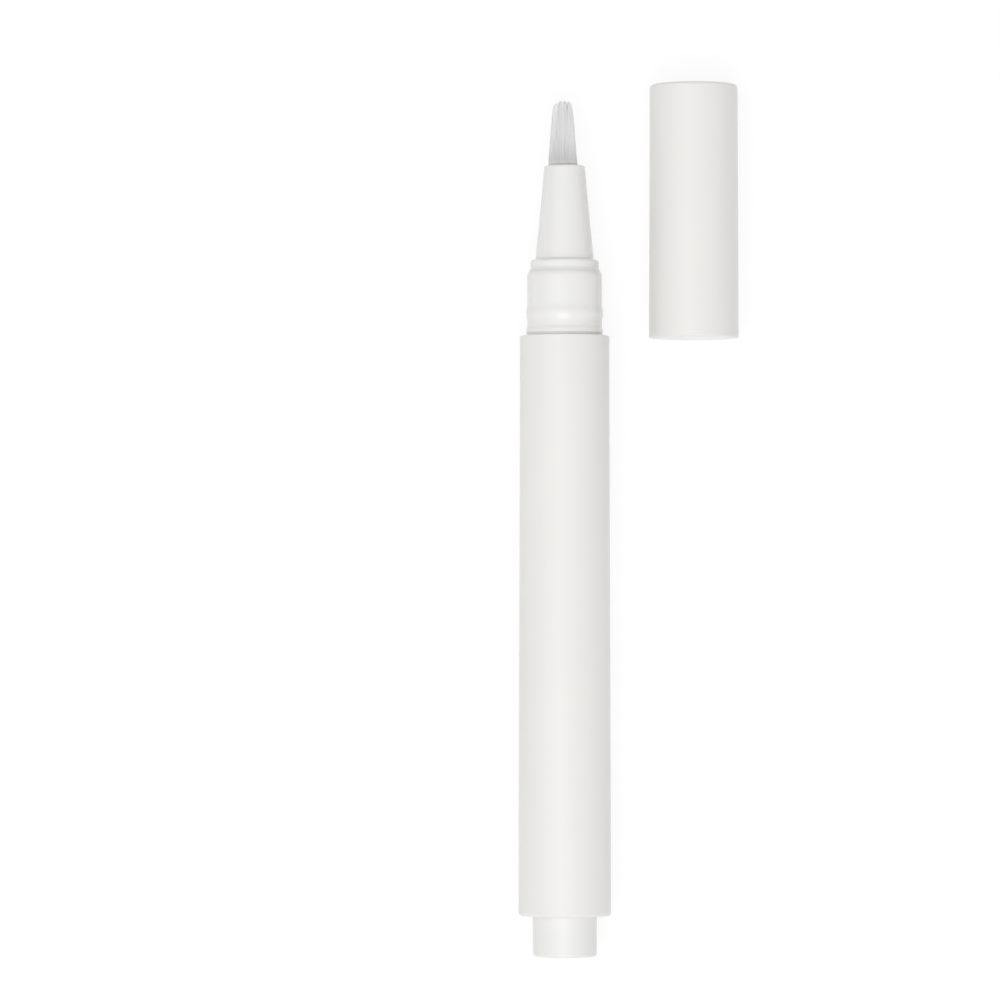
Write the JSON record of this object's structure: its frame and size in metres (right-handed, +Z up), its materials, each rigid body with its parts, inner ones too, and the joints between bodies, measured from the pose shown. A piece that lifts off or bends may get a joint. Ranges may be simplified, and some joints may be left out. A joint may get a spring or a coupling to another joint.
{
  "type": "nail oil pen",
  "caption": "Slim white click pen with a tapered nozzle, nylon brush tip and push button, its round cap laid beside it; a click screw feeds oil forward.",
  "frame": {"origin": "on the ground, under the middle of the box round the pen and its laid cap", "axes": "+Y along the pen from the button to the brush, +Z up from the ground, +X from the pen towards the cap"},
  "size_m": [0.032, 0.1264, 0.0134],
  "materials": {
    "satin_shell": "satin warm white moulding",
    "neck_plastic": "smooth white moulding",
    "button_plastic": "smooth white moulding",
    "bristle_nylon": "translucent nylon bristles",
    "clear_pipe": "smooth translucent tube",
    "inner_plastic": "natural moulding",
    "piston_rubber": "soft moulded seal",
    "spring_steel": "drawn wire"
  },
  "bodies": {
    "pen_body": {"barrel": "satin_shell", "reservoir_tube": "neck_plastic", "nozzle": "neck_plastic", "brush_tuft": "bristle_nylon", "tuft_ferrule": "inner_plastic", "pipe_joint": "inner_plastic", "feed_pipe": "clear_pipe", "screw_nut": "inner_plastic", "fixed_cam": "inner_plastic", "tail_ring": "button_plastic", "return_spring": "spring_steel"},
    "button": {"push_button": "button_plastic", "cam_plunger": "inner_plastic"},
    "rotor": {"ratchet_rotor": "inner_plastic"},
    "rod": {"screw_rod": "inner_plastic"},
    "piston_body": {"piston": "piston_rubber"},
    "cap": {"cap_shell": "satin_shell", "cap_liner": "inner_plastic"}
  },
  "joints": [
    {"name": "button_press", "type": "slide", "parent": "pen_body", "child": "button", "axis": [0, 1, 0], "range_m": [0, 0.0035], "stiffness_N_per_m": 800, "springref_m": -0.0025, "deforming": ["return_spring"]},
    {"name": "piston_feed", "type": "slide", "parent": "pen_body", "child": "piston_body", "axis": [0, 1, 0], "range_m": [0, 0.032]},
    {"name": "rotor_spin", "type": "hinge", "parent": "pen_body", "child": "rotor", "pos_m": [-0.00928, -0.025, 0.0067], "axis": [0, 1, 0], "range_deg": [0, 5761]},
    {"name": "rod_feed", "type": "slide", "parent": "rotor", "child": "rod", "axis": [0, 1, 0], "range_m": [0, 0.03201]},
    {"name": "cap_carry", "type": "slide", "parent": "pen_body", "child": "cap", "axis": [-0.2589, 0.9659, 0.0026], "range_m": [0, 0.07247]}
  ],
  "couplings": [
    {"joint": "rotor_spin", "follows": "piston_feed", "rad_per_m": 3141.6},
    {"joint": "rod_feed", "follows": "piston_feed", "ratio": 1}
  ]
}
